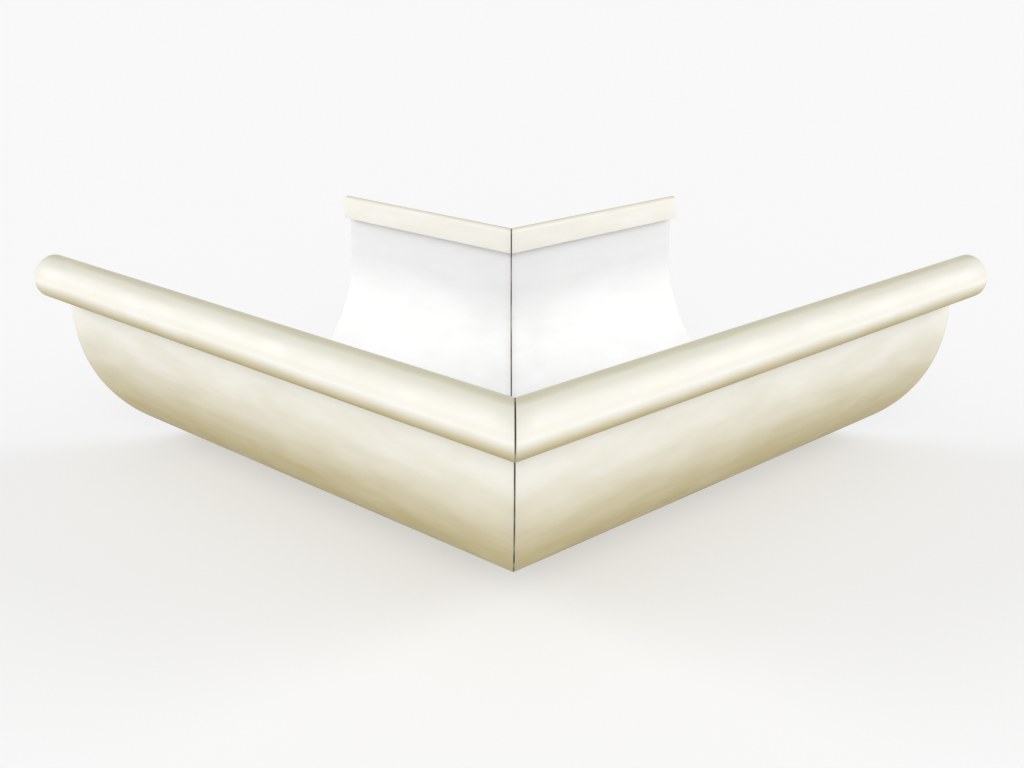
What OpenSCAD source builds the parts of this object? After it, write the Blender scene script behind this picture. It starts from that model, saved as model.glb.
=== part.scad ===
// External 90 degree angle for a half-round rain gutter in coated sheet steel.
// Two mitre-cut lengths of gutter meet at a sharp corner and are joined flush along the mitre.
// Each length is one folded sheet: a half-round trough, a rolled bead on its front edge and a hem
// on its back edge. The angle lies on the bottoms of its two legs, with its open side up.
// Sizes are in millimetres.

/* [Trough] */
// Width across the trough at its widest level, outside
gutter_w = 150; // [130:1:190]
// Depth of the trough below its widest level, outside
gutter_depth = 69; // [66:0.5:90]
// Outside radius of the two shoulders, which the bottom arc joins
shoulder_r = 63; // [50:0.5:64]

/* [Front bead] */
// Outside diameter of the rolled bead
bead_d = 17.6; // [14:0.2:22]
// Height of the bead's centre above the trough's widest level
bead_rise = 14; // [12:0.5:24]
// Inside radius of the front wall where it leans in under the bead
neck_r = 41.2; // [30:0.1:60]
// Slit between the bead's free edge and the front wall
bead_slit = 1.2; // [0.6:0.1:3]

/* [Back hem] */
// Height of the hem's top above the trough's widest level
back_rise = 27.5; // [22:0.5:60]
// Height of the band that is folded down inside the back wall
hem_h = 10.5; // [6:0.5:18]
// Thickness over the fold, from the back wall's outer face to the band's face
hem_t = 4; // [3:0.1:8]

/* [Sheet and legs] */
// Thickness of the coated sheet
sheet_t = 0.6; // [0.5:0.05:1]
// Length of each leg, along the middle of the trough from the mitre to the open end
leg_len = 184; // [150:1:600]

/* [Mitre] */
// Width of the joint between the two cut edges
seam_w = 0.5; // [0.3:0.1:1.5]
// How far the joint's filling lies below the faces of the sheet
seam_recess = 0.1; // [0.05:0.05:0.2]

/* [Hidden] */
$fn = 96;

half_w = gutter_w / 2;

// The bottom arc is tangent to both shoulders, so one radial line passes through both centres
shoulder_x = half_w - shoulder_r;
bottom_r = (pow(shoulder_x, 2) + pow(gutter_depth, 2) - pow(shoulder_r, 2)) / (2 * (gutter_depth - shoulder_r));
bottom_y = bottom_r - gutter_depth;
shoulder_angle = atan2(bottom_y, shoulder_x);

// The bead turns the other way from the neck, so their centres lie a sum of radii apart
bead_r = bead_d / 2;
neck_x = half_w - sheet_t - neck_r;
centre_gap = neck_r + bead_r;
bead_x = neck_x + sqrt(pow(centre_gap, 2) - pow(bead_rise, 2));
bead_angle = atan2(bead_rise, bead_x - neck_x);
slit_reach = neck_r + sheet_t + bead_slit;
slit_turn = acos((pow(slit_reach, 2) - pow(centre_gap, 2) - pow(bead_r, 2)) / (2 * centre_gap * bead_r));
free_edge_angle = bead_angle - slit_turn;

// The hem's fold is a half turn of the sheet
fold_r = hem_t / 2;
fold_y = back_rise - fold_r;
band_h = hem_h - fold_r;

// Reach of the cutting shapes, which only have to pass the section on every side
beyond = 4 * gutter_w;

// The crossing of the legs' middle lines moves so that the origin is under the middle of the box
front_reach = bead_x + bead_r;
corner_shift = (front_reach - leg_len) / 2;

coat = [0.92, 0.90, 0.82];
filler = [0.66, 0.63, 0.53];

// A ring of sheet, with its outer face at radius r, thinned from both faces by inset
module ring(r, inset) {
    difference() {
        circle(r = r - inset);
        circle(r = r - sheet_t + inset);
    }
}

// The trough's filled outline below its widest level, at a depth under the sheet's outer face
module trough_fill(depth) {
    foot_x = beyond * cos(shoulder_angle);
    foot_y = bottom_y - beyond * sin(shoulder_angle);
    intersection() {
        union() {
            translate([shoulder_x, 0])
                circle(r = shoulder_r - depth);
            translate([-shoulder_x, 0])
                circle(r = shoulder_r - depth);
            intersection() {
                translate([0, bottom_y])
                    circle(r = bottom_r - depth);
                polygon([[0, bottom_y], [-foot_x, foot_y], [foot_x, foot_y]]);
            }
        }
        translate([-beyond, -beyond])
            square([2 * beyond, beyond]);
    }
}

// The trough: two shoulders and the bottom arc between them
module trough(inset) {
    difference() {
        trough_fill(inset);
        trough_fill(sheet_t - inset);
    }
}

// The front wall above the widest level, leaning in up to the line through its own centre and the bead's
module neck(inset) {
    intersection() {
        translate([neck_x, 0])
            ring(neck_r + sheet_t, inset);
        polygon([[neck_x, 0], [bead_x, 0], [bead_x, bead_rise]]);
    }
}

// The bead, rolled outwards over the top and down to its free edge, a slit away from the wall
module bead(inset) {
    edge_x = bead_x + centre_gap * cos(free_edge_angle);
    edge_y = bead_rise + centre_gap * sin(free_edge_angle);
    difference() {
        translate([bead_x, bead_rise])
            ring(bead_r, inset);
        difference() {
            polygon([[bead_x, bead_rise], [neck_x, 0], [edge_x, edge_y]]);
            translate([neck_x, 0])
                circle(r = neck_r + sheet_t - inset);
        }
    }
}

// The back wall, its fold and the band that comes down inside it
module hem(inset) {
    strip = sheet_t - 2 * inset;
    translate([half_w - sheet_t + inset, 0])
        square([strip, fold_y]);
    translate([half_w - fold_r, fold_y])
        intersection() {
            ring(fold_r, inset);
            translate([-hem_t, 0])
                square([2 * hem_t, hem_t]);
        }
    translate([half_w - hem_t + inset, fold_y - band_h])
        square([strip, band_h]);
}

// Section of the gutter, with its front on the left and its back on the right
module section(inset = 0) {
    trough(inset);
    hem(inset);
    mirror([1, 0]) {
        neck(inset);
        bead(inset);
    }
}

// Everything on the right leg's side of the mitre that is between two distances from it
module past_mitre(from, to) {
    rotate([0, 0, -45])
        translate([from, -beyond, -beyond])
            cube([to - from, 2 * beyond, 2 * beyond]);
}

// A straight length of the section that runs along +X past the mitre, up to the open end
module length_of_gutter(inset = 0) {
    translate([-beyond / 2, 0, 0])
        rotate([90, 0, 90])
            linear_extrude(height = beyond / 2 + leg_len)
                section(inset);
}

// The right leg, whose cut edge stands half a joint away from the mitre
module mitred_leg() {
    intersection() {
        length_of_gutter();
        past_mitre(seam_w / 2, 2 * beyond);
    }
}

// The right half of the joint's filling
module half_seam() {
    intersection() {
        length_of_gutter(seam_recess);
        past_mitre(0, seam_w / 2);
    }
}

// Puts the corner in the part's own frame
module placed() {
    translate([corner_shift, corner_shift, gutter_depth])
        children();
}

// The leg along +Y, with its bead towards -X
module left_leg() {
    color(coat)
        placed()
            mirror([1, -1, 0])
                mitred_leg();
}

// The leg along +X, with its bead towards -Y
module right_leg() {
    color(coat)
        placed()
            mitred_leg();
}

// The flush joint that fills the mitre through bead, trough and hem
module mitre_seam() {
    color(filler)
        placed() {
            half_seam();
            mirror([1, -1, 0])
                half_seam();
        }
}

left_leg();
right_leg();
mitre_seam();
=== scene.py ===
"""Looks of an external 90 degree gutter angle in enamelled sheet steel, with its filled mitre joint."""
import math

import bmesh
import bpy
from mathutils import Euler, Matrix, Vector


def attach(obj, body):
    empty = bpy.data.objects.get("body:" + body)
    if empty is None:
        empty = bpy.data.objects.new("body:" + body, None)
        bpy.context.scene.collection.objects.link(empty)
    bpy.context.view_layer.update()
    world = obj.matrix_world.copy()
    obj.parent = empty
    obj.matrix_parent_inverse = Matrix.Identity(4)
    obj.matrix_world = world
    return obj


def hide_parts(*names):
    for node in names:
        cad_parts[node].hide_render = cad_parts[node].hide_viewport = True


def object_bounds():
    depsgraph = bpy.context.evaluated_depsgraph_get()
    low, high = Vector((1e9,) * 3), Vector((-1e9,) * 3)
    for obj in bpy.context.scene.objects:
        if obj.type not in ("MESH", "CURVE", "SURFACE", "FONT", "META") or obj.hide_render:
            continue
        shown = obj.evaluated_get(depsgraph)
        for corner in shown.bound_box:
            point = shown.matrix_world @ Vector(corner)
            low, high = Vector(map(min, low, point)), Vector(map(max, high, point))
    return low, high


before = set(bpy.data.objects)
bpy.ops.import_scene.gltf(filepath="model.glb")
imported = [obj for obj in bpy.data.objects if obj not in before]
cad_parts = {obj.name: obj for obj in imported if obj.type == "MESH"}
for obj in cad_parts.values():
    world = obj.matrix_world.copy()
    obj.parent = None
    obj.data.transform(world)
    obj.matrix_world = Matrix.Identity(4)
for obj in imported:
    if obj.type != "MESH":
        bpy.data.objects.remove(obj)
cad_low, cad_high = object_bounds()
MM = 0.001

# The section's driving sizes, in millimetres
GUTTER_WIDTH = 150
GUTTER_DEPTH = 69
SHOULDER_RADIUS = 63
BEAD_DIAMETER = 17.6
BEAD_RISE = 14
NECK_RADIUS = 41.2
BEAD_SLIT = 1.2
BACK_RISE = 27.5
HEM_HEIGHT = 10.5
HEM_THICKNESS = 4
SHEET_THICKNESS = 0.6

# The joint's width, and the small round that the coat gives each cut edge
JOINT_WIDTH = 0.5
EDGE_ROUND = 0.12
# An edge of the mesh that turns by more degrees than this is a cut edge, or a crease
CUT_EDGE_TURN = 60
CREASE_TURN = 25

# Lengths of the short straight runs that round stretches are drawn with, and of the steps along a leg
BEAD_STEP = 0.5
FOLD_STEP = 0.25
TROUGH_STEP = 1.6
STRAIGHT_STEP = 6
LEG_STEP = 6
# Points nearer than this are one point
WELD = 0.01

# The camera, as fitted to the photograph's outlines: its place in millimetres and its turn in degrees
IMAGE_WIDTH = 1024
FOCAL_PIXELS = 1402.7
CAMERA_PLACE = (-395.37, -390.93, 217.35)
CAMERA_HEADING = -45.343
CAMERA_TILT = 72.152
CAMERA_ROLL = 0.093
SENSOR_WIDTH = 36

# What the folded sheet carries: a map in metres along it, and how far each face is turned up, for the
# painted shade
SHEET_MAP = "sheet_lay"
FACE_TILT = "face_tilt"

# The coats' colours by how far a face is turned up, their slow drift of tone and their roughness. The colour
# by tilt is painted shade over each coat's own cream or white: the cream darkens and warms on faces turned
# down and darkens on faces turned straight up, and the white darkens on level and downturned faces.
CREAM_PAINTED_SHADE = (
    (-1.0, "87763d"), (-0.83, "9c8c55"), (-0.65, "b1a371"), (-0.42, "c4bca0"), (-0.2, "d6d3c6"),
    (-0.02, "e3e1d9"), (0.2, "dbd9cf"), (0.5, "dad8cf"), (0.7, "dddbd0"), (0.93, "d9d7c7"), (1.0, "c8c5ab"),
)
CREAM_DRIFT = ((0.3, "fbfaf6"), (0.7, "ffffff"))
WHITE_PAINTED_SHADE = ((0.0, "dadada"), (0.35, "e4e4e3"), (1.0, "ebebea"))
WHITE_DRIFT = ((0.3, "fcfcfb"), (0.7, "ffffff"))
# How far the drift moves the edges of the painted shade, so that they waver
SHADE_WAVER = 0.05
SATIN_ROUGHNESS = (0.37, 0.53)
# Real sizes in millimetres of what the coats show; a pair is along the sheet and across it
SPRAY_PATCH = (30, 8)
SHEET_WAVE = (26, 9)
SHEET_WAVE_HEIGHT = 0.35
GLOSS_PATCH = 20
PEEL_SIZE = 1.6
PEEL_HEIGHT = 0.03

# The jointing compound's tones by how thick it lies, and its sizes in millimetres
COMPOUND_TONES = ((0.38, "2b271f"), (0.5, "575040"), (0.64, "9b927a"))
COMPOUND_PATCH = 12
GRIT_SIZE = 0.25
GRIT_HEIGHT = 0.03

# The light table that the part lies on, and how far it reaches from the middle, in metres
FLOOR_TONE = "b1b1b0"
FLOOR_GLOW_TONE = "ffffff"
FLOOR_GLOW = 0.48
FLOOR_REACH = 8

# Each light: the way its light goes, its height and its spread, in degrees; its strength; its tone.
# The one on each side is mirrored by the other side's bead and wall into a long soft highlight.
SOFT_LIGHTS = {
    "right_light": (-135, 20, 46, 1.85, "ffffff"),
    "left_light": (45, 20, 46, 1.85, "ffffff"),
    "front_light": (-45, 25, 40, 0.95, "ffffff"),
}
SURROUND_TONE = "fcfcff"
SURROUND_STRENGTH = 0.52
BACKDROP_STRENGTH = 1.0


def linear(code):
    """An sRGB hex colour as linear RGBA."""
    channels = [int(code[i:i + 2], 16) / 255 for i in (0, 2, 4)]
    return [c / 12.92 if c <= 0.04045 else ((c + 0.055) / 1.055) ** 2.4 for c in channels] + [1.0]


def add(tree, kind, links=None, **settings):
    """Adds a node: settings are its properties, and links fill its inputs with values or outputs."""
    node = tree.nodes.new(kind)
    for name, value in settings.items():
        setattr(node, name, value)
    for socket, value in (links or {}).items():
        if isinstance(value, bpy.types.NodeSocket):
            tree.links.new(value, node.inputs[socket])
        else:
            node.inputs[socket].default_value = value
    return node


def new_material(name):
    """An empty material with its output node, as (material, tree, output)."""
    material = bpy.data.materials.new(name)
    material.use_nodes = True
    material.node_tree.nodes.clear()
    return material, material.node_tree, add(material.node_tree, "ShaderNodeOutputMaterial")


def tone_ramp(tree, factor, *stops):
    """Colour output of a ramp through (position, hex colour) stops."""
    ramp = add(tree, "ShaderNodeValToRGB", {"Fac": factor})
    elements = ramp.color_ramp.elements
    while len(elements) < len(stops):
        elements.new(0.5)
    for element, (position, code) in zip(elements, stops):
        element.position = position
        element.color = linear(code)
    return ramp.outputs["Color"]


def stove_enamel(name, painted_shade_by_tilt, drift_tones):
    """Polyester enamel, sprayed and stoved on galvanised sheet steel.

    To the eye it is a closed, satin coat with a broad soft highlight. Two things keep it from looking
    like plain plastic: the orange peel that spraying leaves, and slow drifts of tone and gloss along the
    sheet. Over the coat's own colour lies painted shade: the tilt ramp that is passed in gives the colour
    by how far a face is turned up, -1 straight down and 1 straight up, and its darker tones are painted
    shade.
    """
    material, tree, output = new_material(name)
    place = add(tree, "ShaderNodeTexCoord").outputs["Object"]
    sheet = add(tree, "ShaderNodeUVMap", uv_map=SHEET_MAP).outputs["UV"]
    tilt = add(tree, "ShaderNodeAttribute", attribute_name=FACE_TILT).outputs["Fac"]

    # The spray's passes are uneven, in long drifts that lie along the sheet; the drifts tint the coat, and
    # they also move the edges of the painted shade
    long, wide = SPRAY_PATCH
    along = add(tree, "ShaderNodeMapping", {
        "Vector": sheet, "Scale": (1 / (long * MM), 1 / (wide * MM), 1),
    })
    drift = add(tree, "ShaderNodeTexNoise", {
        "Vector": along.outputs["Vector"], "Scale": 1, "Detail": 2, "Roughness": 0.5,
    }, noise_dimensions="2D").outputs["Fac"]
    shift = add(tree, "ShaderNodeMapRange", {"Value": drift, "To Min": -SHADE_WAVER, "To Max": SHADE_WAVER})
    uneven = add(tree, "ShaderNodeMath", {0: tilt, 1: shift.outputs["Result"]}, operation="ADD")
    level = add(tree, "ShaderNodeMapRange", {"Value": uneven.outputs[0], "From Min": -1, "From Max": 1})
    # Painted shade: the colour is taken from the tilt ramp, darker on faces that would lie in shade
    coat = tone_ramp(tree, level.outputs["Result"], *[((t + 1) / 2, code) for t, code in painted_shade_by_tilt])
    tint = tone_ramp(tree, drift, *drift_tones)
    tone = add(tree, "ShaderNodeMix", {0: 1.0, 6: coat, 7: tint}, data_type="RGBA", blend_type="MULTIPLY")

    # The satin gloss is cloudy, in patches
    smoothest, roughest = SATIN_ROUGHNESS
    cloud = add(tree, "ShaderNodeTexNoise", {"Vector": place, "Scale": 1 / (GLOSS_PATCH * MM), "Detail": 2})
    roughness = add(tree, "ShaderNodeMapRange", {
        "Value": cloud.outputs["Fac"], "From Min": 0.3, "From Max": 0.7,
        "To Min": smoothest, "To Max": roughest,
    })

    # Orange peel has waves of 1 to 2 mm and a few micrometres; it is drawn a little deeper, to show
    peel = add(tree, "ShaderNodeTexNoise", {"Vector": place, "Scale": 1 / (PEEL_SIZE * MM), "Detail": 1.5})
    peel_bump = add(tree, "ShaderNodeBump", {
        "Height": peel.outputs["Fac"], "Strength": 0.35, "Distance": PEEL_HEIGHT * MM,
    })
    # Rolling and folding leave the sheet slightly uneven, in waves that lie along it
    long, wide = SHEET_WAVE
    lay = add(tree, "ShaderNodeMapping", {
        "Vector": sheet, "Scale": (1 / (long * MM), 1 / (wide * MM), 1),
    })
    wave = add(tree, "ShaderNodeTexNoise", {
        "Vector": lay.outputs["Vector"], "Scale": 1, "Detail": 1.5, "Roughness": 0.45,
    }, noise_dimensions="2D")
    wave_bump = add(tree, "ShaderNodeBump", {
        "Height": wave.outputs["Fac"], "Strength": 0.7, "Distance": SHEET_WAVE_HEIGHT * MM,
        "Normal": peel_bump.outputs["Normal"],
    })

    enamel = add(tree, "ShaderNodeBsdfPrincipled", {
        "Base Color": tone.outputs[2], "Roughness": roughness.outputs["Result"], "IOR": 1.5,
        "Normal": wave_bump.outputs["Normal"],
    })
    tree.links.new(enamel.outputs["BSDF"], output.inputs["Surface"])
    return material


def joint_compound(name):
    """Solder dressed with a grey-brown jointing compound, wiped flush into the mitre.

    It is matt and darker than the enamel, so the eye reads it as one fine dark line whose tone changes
    from place to place with how thick the compound lies.
    """
    material, tree, output = new_material(name)
    place = add(tree, "ShaderNodeTexCoord").outputs["Object"]
    thick = add(tree, "ShaderNodeTexNoise", {
        "Vector": place, "Scale": 1 / (COMPOUND_PATCH * MM), "Detail": 3,
    })
    tone = tone_ramp(tree, thick.outputs["Fac"], *COMPOUND_TONES)
    grit = add(tree, "ShaderNodeTexNoise", {"Vector": place, "Scale": 1 / (GRIT_SIZE * MM), "Detail": 2})
    bump = add(tree, "ShaderNodeBump", {
        "Height": grit.outputs["Fac"], "Strength": 0.4, "Distance": GRIT_HEIGHT * MM,
    })
    compound = add(tree, "ShaderNodeBsdfPrincipled", {
        "Base Color": tone, "Roughness": 0.7, "IOR": 1.48, "Normal": bump.outputs["Normal"],
    })
    tree.links.new(compound.outputs["BSDF"], output.inputs["Surface"])
    return material


def light_table(name):
    """Opal acrylic, matt on top and lit evenly from below, so that shadows on it stay quiet."""
    material, tree, output = new_material(name)
    acrylic = add(tree, "ShaderNodeBsdfPrincipled", {
        "Base Color": linear(FLOOR_TONE), "Roughness": 0.95, "Specular IOR Level": 0.1,
        "Emission Color": linear(FLOOR_GLOW_TONE), "Emission Strength": FLOOR_GLOW,
    })
    tree.links.new(acrylic.outputs["BSDF"], output.inputs["Surface"])
    return material


def arc(centre, radius, start, end, step):
    """Points (out, up) on an arc about a step apart, without its first one. Angles are in degrees."""
    count = math.ceil(math.radians(abs(end - start)) * radius / step)
    turns = [math.radians(start + (end - start) * i / count) for i in range(1, count + 1)]
    return [(centre[0] + radius * math.cos(a), centre[1] + radius * math.sin(a)) for a in turns]


def straight(start, end, step):
    """Points on a straight line about a step apart, without its first one."""
    count = math.ceil(math.dist(start, end) / step)
    shares = [i / count for i in range(1, count + 1)]
    return [(start[0] + (end[0] - start[0]) * s, start[1] + (end[1] - start[1]) * s) for s in shares]


def girth(points):
    """Length of a line of points."""
    return sum(math.dist(a, b) for a, b in zip(points, points[1:]))


def gutter_section():
    """The sheet's outer face in section, from the hem's free edge to the bead's.

    Its points are (out, up) in millimetres: out to the front from the trough's middle, and up from its
    widest level. Also returns the girths at which the trough's white coat starts and ends.
    """
    half = GUTTER_WIDTH / 2

    # The bottom arc is tangent to both shoulders
    shoulder_out = half - SHOULDER_RADIUS
    bottom_radius = (shoulder_out ** 2 + GUTTER_DEPTH ** 2 - SHOULDER_RADIUS ** 2) / (
        2 * (GUTTER_DEPTH - SHOULDER_RADIUS))
    bottom_up = bottom_radius - GUTTER_DEPTH
    shoulder_turn = math.degrees(math.atan2(bottom_up, shoulder_out))

    # The bead turns the other way from the neck, so their centres lie a sum of radii apart
    bead_radius = BEAD_DIAMETER / 2
    neck_out = half - SHEET_THICKNESS - NECK_RADIUS
    centre_gap = NECK_RADIUS + bead_radius
    bead_out = neck_out + math.sqrt(centre_gap ** 2 - BEAD_RISE ** 2)
    bead_turn = math.degrees(math.atan2(BEAD_RISE, bead_out - neck_out))
    slit_reach = NECK_RADIUS + SHEET_THICKNESS + BEAD_SLIT
    slit_turn = math.degrees(math.acos(
        (slit_reach ** 2 - centre_gap ** 2 - bead_radius ** 2) / (2 * centre_gap * bead_radius)))

    fold_radius = HEM_THICKNESS / 2
    fold_up = BACK_RISE - fold_radius
    band_foot = (-half + HEM_THICKNESS, BACK_RISE - HEM_HEIGHT)

    points = [band_foot]
    points += straight(band_foot, (band_foot[0], fold_up), STRAIGHT_STEP)
    points += arc((-half + fold_radius, fold_up), fold_radius, 0, 180, FOLD_STEP)
    white_from = girth(points)
    points += straight((-half, fold_up), (-half, 0), STRAIGHT_STEP)
    points += arc((-shoulder_out, 0), SHOULDER_RADIUS, 180, 180 + shoulder_turn, TROUGH_STEP)
    points += arc((0, bottom_up), bottom_radius, 180 + shoulder_turn, 360 - shoulder_turn, TROUGH_STEP)
    points += arc((shoulder_out, 0), SHOULDER_RADIUS, 360 - shoulder_turn, 360, TROUGH_STEP)
    points += arc((neck_out, 0), NECK_RADIUS + SHEET_THICKNESS, 0, bead_turn, TROUGH_STEP)
    white_to = girth(points)
    points += arc((bead_out, BEAD_RISE), bead_radius - SHEET_THICKNESS,
                  180 + bead_turn, bead_turn - slit_turn, BEAD_STEP)
    return points, white_from, white_to


def section_line(points):
    """The section as one open line in the plane across the right leg, whose front is towards -Y."""
    curve = bpy.data.curves.new("gutter_section", "CURVE")
    curve.dimensions = "3D"
    spline = curve.splines.new("POLY")
    spline.points.add(len(points) - 1)
    for point, (out, up) in zip(spline.points, points):
        point.co = (0, -out * MM, up * MM, 1)
    return curve


LEG_INPUTS = (
    ("Leg length", "NodeSocketFloat"),
    ("Joint width", "NodeSocketFloat"),
    ("Sheet thickness", "NodeSocketFloat"),
    ("Steps along the leg", "NodeSocketInt"),
    ("White coat from", "NodeSocketFloat"),
    ("White coat to", "NodeSocketFloat"),
    ("Left hand", "NodeSocketBool"),
    ("Corner", "NodeSocketVector"),
    ("Outer coat", "NodeSocketMaterial"),
    ("Trough coat", "NodeSocketMaterial"),
)


def leg_tree():
    """Geometry nodes that run a section line out into one mitred leg of sheet, and coat its faces."""
    tree = bpy.data.node_groups.new("mitred gutter leg", "GeometryNodeTree")
    tree.interface.new_socket("Geometry", in_out="INPUT", socket_type="NodeSocketGeometry")
    for name, kind in LEG_INPUTS:
        tree.interface.new_socket(name, in_out="INPUT", socket_type=kind)
    tree.interface.new_socket("Geometry", in_out="OUTPUT", socket_type="NodeSocketGeometry")
    given = add(tree, "NodeGroupInput").outputs

    # A grid with one row for each point of the section and one column for each step along the leg
    line = given["Geometry"]
    count = add(tree, "GeometryNodeAttributeDomainSize", {"Geometry": line}, component="CURVE")
    columns = add(tree, "ShaderNodeMath", {0: given["Steps along the leg"], 1: 1}, operation="ADD")
    grid = add(tree, "GeometryNodeMeshGrid", {
        "Size X": given["Leg length"], "Size Y": 1,
        "Vertices X": columns.outputs[0], "Vertices Y": count.outputs["Point Count"],
    })
    index = add(tree, "GeometryNodeInputIndex").outputs[0]
    row = add(tree, "ShaderNodeMath", {0: index, 1: count.outputs["Point Count"]}, operation="MODULO")
    column = add(tree, "ShaderNodeMath", {0: index, 1: count.outputs["Point Count"]}, operation="DIVIDE")
    column = add(tree, "ShaderNodeMath", {0: column.outputs[0]}, operation="FLOOR")
    share = add(tree, "ShaderNodeMath", {
        0: column.outputs[0], 1: given["Steps along the leg"],
    }, operation="DIVIDE").outputs[0]

    # Each row takes its place across the leg, and its girth, from its own point of the section
    here = add(tree, "GeometryNodeInputPosition").outputs[0]
    across = add(tree, "GeometryNodeSampleIndex", {
        "Geometry": line, "Value": here, "Index": row.outputs[0],
    }, data_type="FLOAT_VECTOR", domain="POINT")
    length_so_far = add(tree, "GeometryNodeSplineParameter").outputs["Length"]
    girth_here = add(tree, "GeometryNodeSampleIndex", {
        "Geometry": line, "Value": length_so_far, "Index": row.outputs[0],
    }, data_type="FLOAT", domain="POINT")
    run = add(tree, "ShaderNodeMath", {0: share, 1: given["Leg length"]}, operation="MULTIPLY")
    away = add(tree, "ShaderNodeCombineXYZ", {"X": run.outputs[0]})
    place = add(tree, "ShaderNodeVectorMath", {0: across.outputs[0], 1: away.outputs[0]}, operation="ADD")
    with_girth = add(tree, "GeometryNodeCaptureAttribute", {
        "Geometry": grid.outputs["Mesh"],
    }, domain="POINT")
    with_girth.capture_items.new("FLOAT", "Girth")
    tree.links.new(girth_here.outputs[0], with_girth.inputs["Girth"])
    skin = add(tree, "GeometryNodeSetPosition", {
        "Geometry": with_girth.outputs["Geometry"], "Position": place.outputs[0],
    }).outputs[0]

    # How far the outer face is turned up or down, from 1 to -1, which the coats' painted shade follows; the
    # trough's side is turned the other way
    facing = add(tree, "ShaderNodeSeparateXYZ", {0: add(tree, "GeometryNodeInputNormal").outputs[0]})
    with_tilt = add(tree, "GeometryNodeCaptureAttribute", {"Geometry": skin}, domain="POINT")
    with_tilt.capture_items.new("FLOAT", "Tilt")
    tree.links.new(facing.outputs["Z"], with_tilt.inputs["Tilt"])
    skin = with_tilt.outputs["Geometry"]

    # The sheet's thickness, from the outer face to the trough's side
    turned_in = add(tree, "GeometryNodeFlipFaces", {"Mesh": skin})
    inner = add(tree, "GeometryNodeExtrudeMesh", {
        "Mesh": turned_in.outputs[0], "Offset Scale": given["Sheet thickness"], "Individual": False,
    }, mode="FACES")
    both = add(tree, "GeometryNodeJoinGeometry")
    tree.links.new(skin, both.inputs[0])
    tree.links.new(inner.outputs["Mesh"], both.inputs[0])
    sheet = add(tree, "GeometryNodeMergeByDistance", {"Geometry": both.outputs[0], "Distance": WELD * MM})

    # The mitre: every line along the leg starts where it meets the joint's edge. The cut runs at 45 degrees,
    # so half the joint's width is the whole width times the root of a half when measured along the leg.
    parts = add(tree, "ShaderNodeSeparateXYZ", {0: here}).outputs
    joint_share = add(tree, "ShaderNodeMath", {
        0: given["Joint width"], 1: math.sqrt(0.5),
    }, operation="MULTIPLY")
    start = add(tree, "ShaderNodeMath", {0: parts["Y"], 1: joint_share.outputs[0]}, operation="ADD")
    mitred = add(tree, "ShaderNodeMapRange", {
        "Value": parts["X"], "From Min": 0, "From Max": given["Leg length"],
        "To Min": start.outputs[0], "To Max": given["Leg length"],
    }, clamp=False)
    cut = add(tree, "ShaderNodeCombineXYZ", {
        "X": mitred.outputs["Result"], "Y": parts["Y"], "Z": parts["Z"],
    })
    leg = add(tree, "GeometryNodeSetPosition", {"Geometry": sheet.outputs[0], "Position": cut.outputs[0]})

    # A map in metres, along the leg and round the section, for what the coat does along the sheet
    lay = add(tree, "ShaderNodeCombineXYZ", {"X": parts["X"], "Y": with_girth.outputs["Girth"]})
    mapped = add(tree, "GeometryNodeStoreNamedAttribute", {
        "Geometry": leg.outputs[0], "Name": SHEET_MAP, "Value": lay.outputs[0],
    }, data_type="FLOAT2", domain="CORNER")
    turned_away = add(tree, "ShaderNodeMath", {0: with_tilt.outputs["Tilt"], 1: -1}, operation="MULTIPLY")
    sided = add(tree, "GeometryNodeSwitch", {
        "Switch": inner.outputs["Top"], "False": with_tilt.outputs["Tilt"], "True": turned_away.outputs[0],
    }, input_type="FLOAT")
    # Cut edges get the tilt of level faces, and so the lightest tone of the cream's painted shade
    tilt = add(tree, "GeometryNodeSwitch", {
        "Switch": inner.outputs["Side"], "False": sided.outputs[0], "True": 0.0,
    }, input_type="FLOAT")
    mapped = add(tree, "GeometryNodeStoreNamedAttribute", {
        "Geometry": mapped.outputs[0], "Name": FACE_TILT, "Value": tilt.outputs[0],
    }, data_type="FLOAT", domain="CORNER")

    # The left leg is the right one seen in the mitre
    seen = add(tree, "ShaderNodeCombineXYZ", {"X": parts["Y"], "Y": parts["X"], "Z": parts["Z"]})
    swapped = add(tree, "GeometryNodeSetPosition", {
        "Geometry": mapped.outputs[0], "Position": seen.outputs[0],
    })
    turned = add(tree, "GeometryNodeFlipFaces", {"Mesh": swapped.outputs[0]})
    hand = add(tree, "GeometryNodeSwitch", {
        "Switch": given["Left hand"], "False": mapped.outputs[0], "True": turned.outputs[0],
    }, input_type="GEOMETRY")
    placed = add(tree, "GeometryNodeSetPosition", {"Geometry": hand.outputs[0], "Offset": given["Corner"]})

    # White lies on the trough's side of the sheet, between the hem and the bead's foot
    from_hem = add(tree, "FunctionNodeCompare", {
        "A": with_girth.outputs["Girth"], "B": given["White coat from"],
    }, data_type="FLOAT", operation="GREATER_THAN")
    to_bead = add(tree, "FunctionNodeCompare", {
        "A": with_girth.outputs["Girth"], "B": given["White coat to"],
    }, data_type="FLOAT", operation="LESS_THAN")
    in_trough = add(tree, "FunctionNodeBooleanMath", {
        0: from_hem.outputs[0], 1: to_bead.outputs[0],
    }, operation="AND")
    white = add(tree, "FunctionNodeBooleanMath", {
        0: in_trough.outputs[0], 1: inner.outputs["Top"],
    }, operation="AND")
    real = add(tree, "GeometryNodeRealizeInstances", {"Geometry": placed.outputs[0]})
    cream_all = add(tree, "GeometryNodeSetMaterial", {
        "Geometry": real.outputs[0], "Material": given["Outer coat"],
    })
    coated = add(tree, "GeometryNodeSetMaterial", {
        "Geometry": cream_all.outputs[0], "Selection": white.outputs[0], "Material": given["Trough coat"],
    })
    add(tree, "NodeGroupOutput", {"Geometry": coated.outputs[0]})
    return tree


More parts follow.
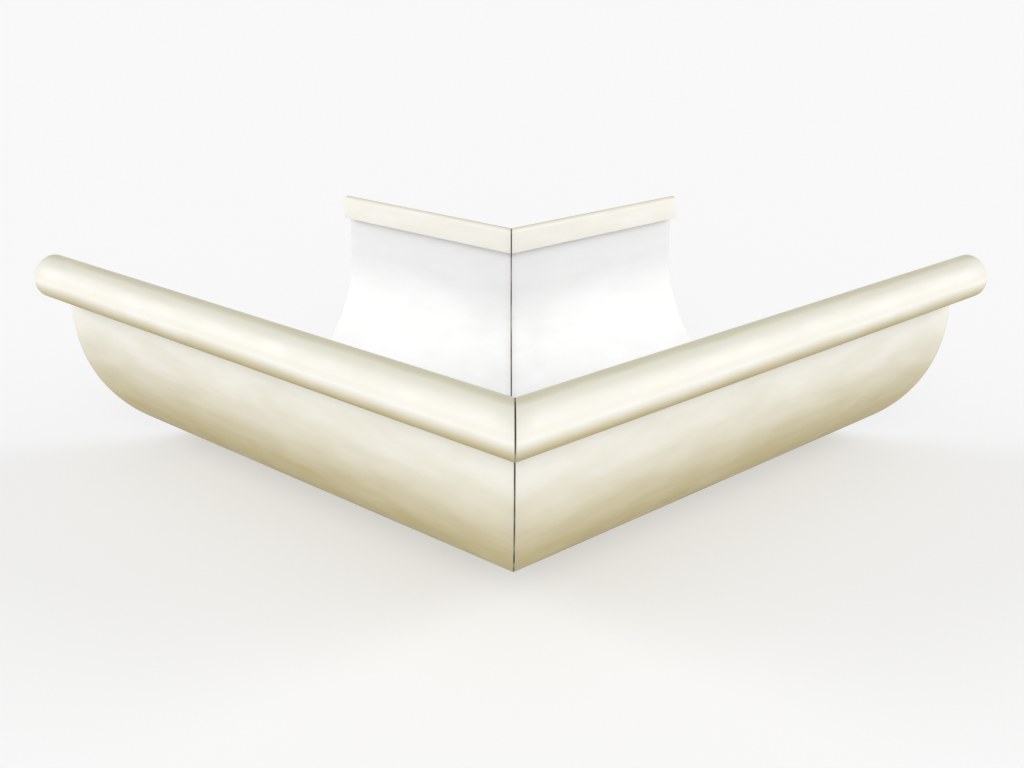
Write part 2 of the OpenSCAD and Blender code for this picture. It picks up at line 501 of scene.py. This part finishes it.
def folded_leg(name, tree, curve, values):
    """One leg as a plain mesh, made by the leg tree from the section line, with its cut edges rounded."""
    maker = bpy.data.objects.new(name + "_maker", curve)
    bpy.context.scene.collection.objects.link(maker)
    modifier = maker.modifiers.new("leg", "NODES")
    modifier.node_group = tree
    for item in tree.interface.items_tree:
        if item.in_out == "INPUT" and item.name in values:
            modifier[item.identifier] = values[item.name]
    bpy.context.view_layer.update()
    evaluated = maker.evaluated_get(bpy.context.evaluated_depsgraph_get())
    mesh = bpy.data.meshes.new_from_object(evaluated, preserve_all_data_layers=True,
                                           depsgraph=bpy.context.evaluated_depsgraph_get())
    maker.modifiers.remove(modifier)
    bpy.data.objects.remove(maker)
    mesh.name = name
    # The line's own empty slot comes along first
    if mesh.materials[0] is None:
        mesh.materials.pop(index=0)
    round_cut_edges(mesh)
    piece = bpy.data.objects.new(name, mesh)
    bpy.context.scene.collection.objects.link(piece)
    return piece


def round_cut_edges(mesh):
    """Takes the corner off every cut edge, and shades the folded faces smooth up to those edges."""
    work = bmesh.new()
    work.from_mesh(mesh)
    corners = [e for e in work.edges if e.calc_face_angle(0) > math.radians(CUT_EDGE_TURN)]
    bmesh.ops.bevel(work, geom=corners, offset=EDGE_ROUND * MM, segments=2, profile=0.5, affect="EDGES")
    for face in work.faces:
        face.smooth = True
    for edge in work.edges:
        edge.smooth = edge.calc_face_angle(0) < math.radians(CREASE_TURN)
    work.to_mesh(mesh)
    work.free()


def soft_light(name, heading, rise, spread, strength, tone):
    """A large soft light far off, the same over the whole floor. Heading is from +Y towards -X."""
    data = bpy.data.lights.new(name, "SUN")
    data.angle = math.radians(spread)
    data.energy = strength
    data.color = linear(tone)[:3]
    lamp = bpy.data.objects.new(name, data)
    lamp.rotation_euler = (math.radians(90 - rise), 0, math.radians(heading))
    bpy.context.scene.collection.objects.link(lamp)


def studio():
    """The light table, the soft lights and an even white surround."""
    reach = FLOOR_REACH
    floor_mesh = bpy.data.meshes.new("floor")
    floor_mesh.from_pydata(
        [(-reach, -reach, 0), (reach, -reach, 0), (reach, reach, 0), (-reach, reach, 0)],
        [], [(0, 1, 2, 3)])
    floor_mesh.materials.append(light_table("opal_acrylic"))
    floor = bpy.data.objects.new("floor", floor_mesh)
    bpy.context.scene.collection.objects.link(floor)
    for name, values in SOFT_LIGHTS.items():
        soft_light(name, *values)
    world = bpy.data.worlds.new("white_surround")
    bpy.context.scene.world = world
    world.use_nodes = True
    surround = world.node_tree.nodes["Background"]
    surround.inputs["Color"].default_value = linear(SURROUND_TONE)
    # Behind the floor's far edge the surround is as bright as the floor
    looked_at = add(world.node_tree, "ShaderNodeLightPath").outputs["Is Camera Ray"]
    strength = add(world.node_tree, "ShaderNodeMapRange", {
        "Value": looked_at, "To Min": SURROUND_STRENGTH, "To Max": BACKDROP_STRENGTH,
    })
    world.node_tree.links.new(strength.outputs["Result"], surround.inputs["Strength"])


def photo_camera():
    """The camera at the photograph's place and turn, with its field of view."""
    data = bpy.data.cameras.new("photo_view")
    data.sensor_width = SENSOR_WIDTH
    data.sensor_fit = "HORIZONTAL"
    data.lens = FOCAL_PIXELS / IMAGE_WIDTH * data.sensor_width
    data.clip_start = 0.01
    camera = bpy.data.objects.new("photo_view", data)
    turn = Euler((math.radians(CAMERA_TILT), 0, math.radians(CAMERA_HEADING))).to_matrix()
    turn = turn @ Matrix.Rotation(math.radians(CAMERA_ROLL), 3, "Z")
    camera.matrix_world = Matrix.Translation(Vector(CAMERA_PLACE) * MM) @ turn.to_4x4()
    bpy.context.scene.collection.objects.link(camera)
    bpy.context.scene.camera = camera


cream_enamel = stove_enamel("cream_polyester_enamel", CREAM_PAINTED_SHADE, CREAM_DRIFT)
white_enamel = stove_enamel("white_polyester_enamel", WHITE_PAINTED_SHADE, WHITE_DRIFT)
compound = joint_compound("mitre_jointing_compound")

# The legs' middle lines cross at the corner, at the trough's widest level
section, white_from, white_to = gutter_section()
reach = max(out for out, up in section) * MM + SHEET_THICKNESS * MM
corner = Vector((cad_low.x + reach, cad_low.y + reach, GUTTER_DEPTH * MM))
leg_length = cad_high.x - corner.x
leg_values = {
    "Leg length": leg_length,
    "Joint width": JOINT_WIDTH * MM,
    "Sheet thickness": SHEET_THICKNESS * MM,
    "Steps along the leg": round(leg_length / (LEG_STEP * MM)),
    "White coat from": white_from * MM,
    "White coat to": white_to * MM,
    "Corner": corner,
    "Outer coat": cream_enamel,
    "Trough coat": white_enamel,
}
leg_nodes = leg_tree()
line = section_line(section)
for side in ("right", "left"):
    leg = folded_leg(side + "_leg_sheet", leg_nodes, line, {**leg_values, "Left hand": side == "left"})
    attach(leg, "root")
    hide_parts(side + "_leg")

# The joint keeps its own solid and takes the compound's finish
seam_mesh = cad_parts["mitre_seam"].data
seam_mesh.materials.clear()
seam_mesh.materials.append(compound)

studio()
photo_camera()
bpy.context.scene.view_settings.view_transform = "Standard"
